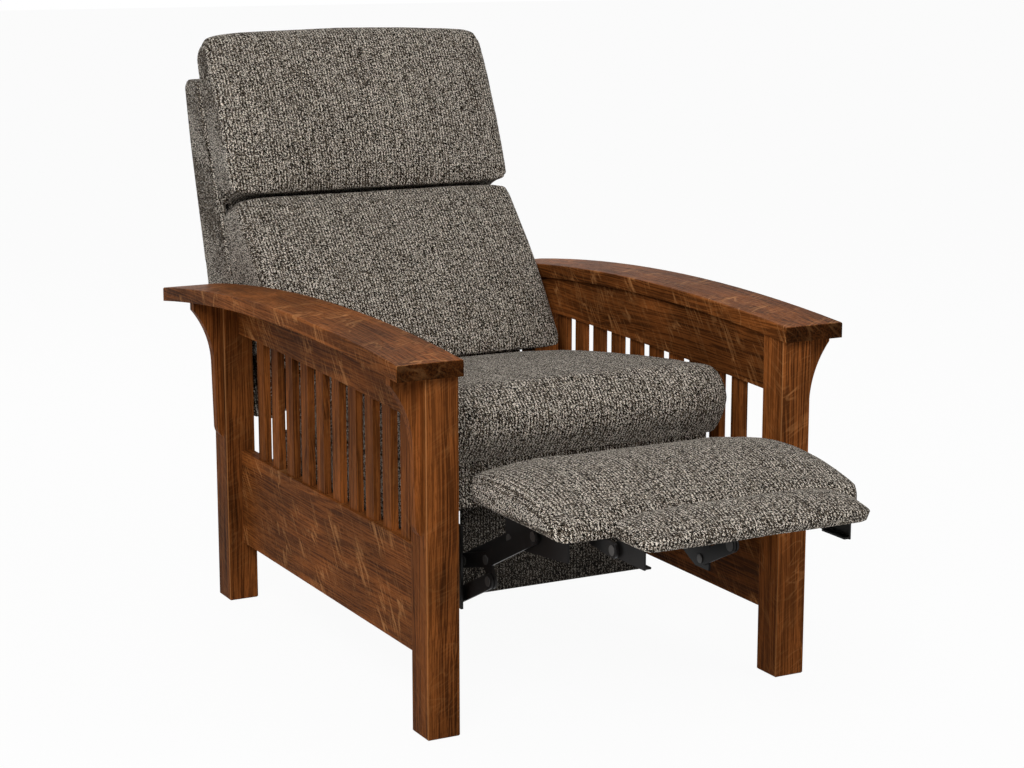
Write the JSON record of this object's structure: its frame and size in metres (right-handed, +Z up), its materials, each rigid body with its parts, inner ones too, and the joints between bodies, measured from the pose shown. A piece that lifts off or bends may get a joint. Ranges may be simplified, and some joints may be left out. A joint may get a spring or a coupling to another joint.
{
  "type": "reclining armchair",
  "caption": "Mission style reclining armchair with bowed wood arms over slatted sides, a fabric seat, a two-pillow back and a two-piece folding footrest.",
  "frame": {"origin": "bottom centre of the box around the chair with its footrest out", "axes": "+Z up, -Y to the front where the footrest is, +X to the right as seen by someone who faces the chair"},
  "size_m": [0.8216, 1.602, 1.0412],
  "materials": {
    "oak": "dark stained oak, satin",
    "upholstery": "charcoal and beige chenille tweed",
    "black_steel": "black painted steel",
    "zinc_steel": "zinc plated",
    "plain_wood": "unfinished",
    "webbing": "woven elastic webbing",
    "nylon": "moulded"
  },
  "bodies": {
    "frame": {"front_left_leg": "oak", "rear_left_leg": "oak", "front_right_leg": "oak", "rear_right_leg": "oak", "left_arm": "oak", "right_arm": "oak", "left_side_panel": "oak", "right_side_panel": "oak", "left_apron": "oak", "right_apron": "oak", "left_slats": "oak", "right_slats": "oak", "front_left_corbel": "oak", "rear_left_corbel": "oak", "front_right_corbel": "oak", "rear_right_corbel": "oak", "rear_rail": "oak", "base_channels": "black_steel", "channel_screws": "zinc_steel", "cross_tubes": "black_steel"},
    "seat": {"seat_cushion": "upholstery", "left_seat_rail": "upholstery", "right_seat_rail": "upholstery", "front_rail": "upholstery", "rear_seat_rail": "plain_wood", "seat_webbing": "webbing", "front_panel": "upholstery", "glide_shoes": "nylon", "shoe_pins": "black_steel", "left_side_plate": "black_steel", "right_side_plate": "black_steel", "plate_screws": "zinc_steel", "plate_pins": "black_steel"},
    "back": {"back_stiles": "plain_wood", "back_top_rail": "plain_wood", "back_bottom_rail": "plain_wood", "back_shell": "upholstery", "lumbar_pillow": "upholstery", "head_pillow": "upholstery", "hinge_brackets": "black_steel"},
    "swing_links": {"left_swing_link": "black_steel", "right_swing_link": "black_steel", "swing_rivets": "black_steel"},
    "rear_links": {"left_rear_link": "black_steel", "right_rear_link": "black_steel", "rear_link_rivets": "black_steel"},
    "long_links": {"left_long_link": "black_steel", "right_long_link": "black_steel"},
    "upper_links": {"left_upper_link": "black_steel", "right_upper_link": "black_steel"},
    "footrest": {"left_footrest_bracket": "black_steel", "right_footrest_bracket": "black_steel", "footrest_board": "plain_wood", "hinge_ears": "black_steel", "footrest_rivets": "black_steel", "footrest_pad": "upholstery"},
    "flipper": {"flipper_board": "plain_wood", "flipper_arms": "black_steel", "flipper_pad": "upholstery"}
  },
  "joints": [
    {"name": "seat_slide", "type": "slide", "parent": "frame", "child": "seat", "axis": [0, -1, 0], "range_m": [0, 0.055]},
    {"name": "back_recline", "type": "hinge", "parent": "seat", "child": "back", "pos_m": [0, 0.417, 0.395], "axis": [-1, 0, 0], "range_deg": [0, 26.1]},
    {"name": "footrest_fold", "type": "hinge", "parent": "seat", "child": "swing_links", "pos_m": [0, -0.203, 0.22585], "axis": [1, 0, 0], "range_deg": [0, 90.4]},
    {"name": "rear_link_turn", "type": "hinge", "parent": "seat", "child": "rear_links", "pos_m": [0, -0.27039, 0.1866], "axis": [1, 0, 0], "range_deg": [0, 112.6]},
    {"name": "long_link_turn", "type": "hinge", "parent": "swing_links", "child": "long_links", "pos_m": [0, -0.35249, 0.2659], "axis": [1, 0, 0], "range_deg": [-147, 0]},
    {"name": "upper_link_turn", "type": "hinge", "parent": "swing_links", "child": "upper_links", "pos_m": [0, -0.26223, 0.24172], "axis": [1, 0, 0], "range_deg": [-148.8, 0]},
    {"name": "footrest_turn", "type": "hinge", "parent": "long_links", "child": "footrest", "pos_m": [0, -0.51067, 0.3428], "axis": [1, 0, 0], "range_deg": [0, 146.6]},
    {"name": "flipper_turn", "type": "hinge", "parent": "footrest", "child": "flipper", "pos_m": [0, -0.682, 0.358], "axis": [1, 0, 0], "range_deg": [0, 180]}
  ],
  "couplings": [
    {"joint": "back_recline", "follows": "seat_slide", "rad_per_m": 8.2507},
    {"joint": "rear_link_turn", "follows": "footrest_fold", "ratio": 1.2446},
    {"joint": "long_link_turn", "follows": "footrest_fold", "ratio": -1.6254},
    {"joint": "upper_link_turn", "follows": "footrest_fold", "ratio": -1.6446},
    {"joint": "footrest_turn", "follows": "footrest_fold", "ratio": 1.6206},
    {"joint": "flipper_turn", "follows": "footrest_fold", "ratio": 1.9904}
  ]
}
